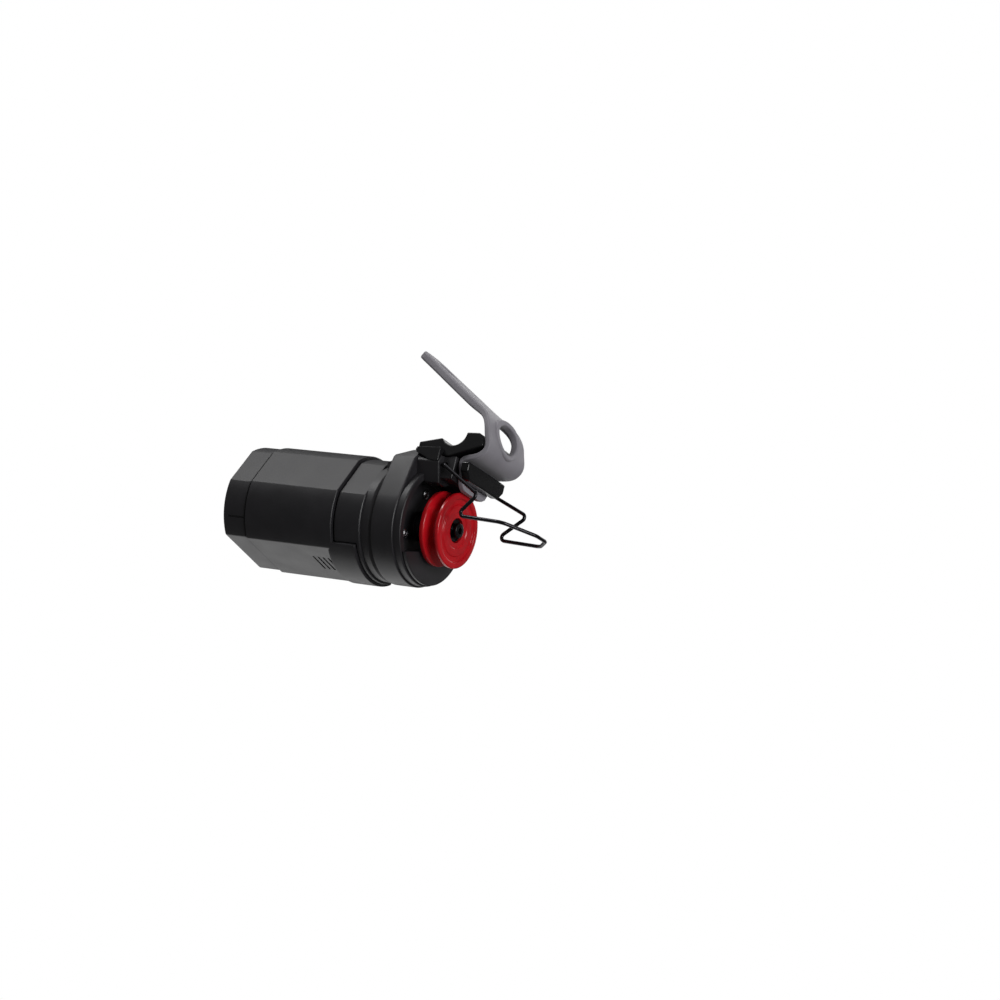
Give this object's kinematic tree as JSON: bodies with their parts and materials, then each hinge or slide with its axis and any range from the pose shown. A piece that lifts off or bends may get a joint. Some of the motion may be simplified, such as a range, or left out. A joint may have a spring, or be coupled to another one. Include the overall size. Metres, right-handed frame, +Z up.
{
  "type": "fishing line counter",
  "caption": "Clip-on line counter: round barrel with display and battery, grooved red measuring wheel, wire bail that holds the line on it, and a rubber strap and seat for a fishing rod",
  "frame": {"origin": "the rod's axis at the middle of the rubber rod seat", "axes": "+X along the barrel towards the measuring wheel, +Y along the rod towards the reel, +Z up, from the barrel to the rod"},
  "size_m": [0.09, 0.0341, 0.0652],
  "materials": {
    "matte_black": "moulded black ABS with a fine grain",
    "gloss_black": "smooth black moulded plastic",
    "rubber_black": "dull black rubber",
    "silicone_grey": "satin grey silicone rubber",
    "gloss_red": "glossy red moulded plastic",
    "smoked_lens": "clear polished plastic over a dark panel",
    "panel_grey": "grey-green display panel",
    "board_green": "green circuit board",
    "chip_black": "black moulded component",
    "key_grey": "grey rubber key",
    "cell_grey": "plain wrapped battery cell",
    "steel": "bright plated steel",
    "dark_wire": "blackened spring wire",
    "brass": "plain brass"
  },
  "bodies": {
    "root": {"barrel_sleeve": "matte_black", "battery_tube": "matte_black", "head_housing": "matte_black", "front_cover": "matte_black", "cap_seal": "rubber_black", "head_seal": "rubber_black", "battery": "cell_grey", "front_contact": "brass", "main_board": "board_green", "display_panel": "panel_grey", "display_window": "smoked_lens", "reset_switch": "chip_black", "sensor_board": "board_green", "wheel_sensor": "chip_black", "cover_screw_1": "steel", "cover_screw_2": "steel", "cover_screw_3": "steel", "axle_bush": "brass", "axle_screw": "steel", "saddle_pad": "rubber_black", "strap_lug": "gloss_black", "strap": "silicone_grey"},
    "wheel": {"measuring_wheel": "gloss_red", "wheel_magnet_1": "steel", "wheel_magnet_2": "steel", "rear_bearing": "steel", "front_bearing": "steel"},
    "bail": {"bail_wire": "dark_wire"},
    "key": {"reset_key": "key_grey"},
    "cap": {"battery_cap": "matte_black", "contact_spring": "steel"}
  },
  "joints": [
    {"name": "wheel_spin", "type": "hinge", "parent": "root", "child": "wheel", "pos_m": [-0.0009, 0, -0.0241], "axis": [1, 0, 0], "continuous": true},
    {"name": "bail_swing", "type": "hinge", "parent": "root", "child": "bail", "pos_m": [-0.0005, 0, -0.0093], "axis": [0, -1, 0], "range_deg": [-20, 50]},
    {"name": "key_press", "type": "slide", "parent": "root", "child": "key", "axis": [0, -0.9205, -0.3907], "range_m": [0, 0.0005], "stiffness_N_per_m": 400},
    {"name": "cap_turn", "type": "hinge", "parent": "root", "child": "cap", "pos_m": [-0.0584, 0, -0.0241], "axis": [1, 0, 0], "range_deg": [0, 45]}
  ]
}
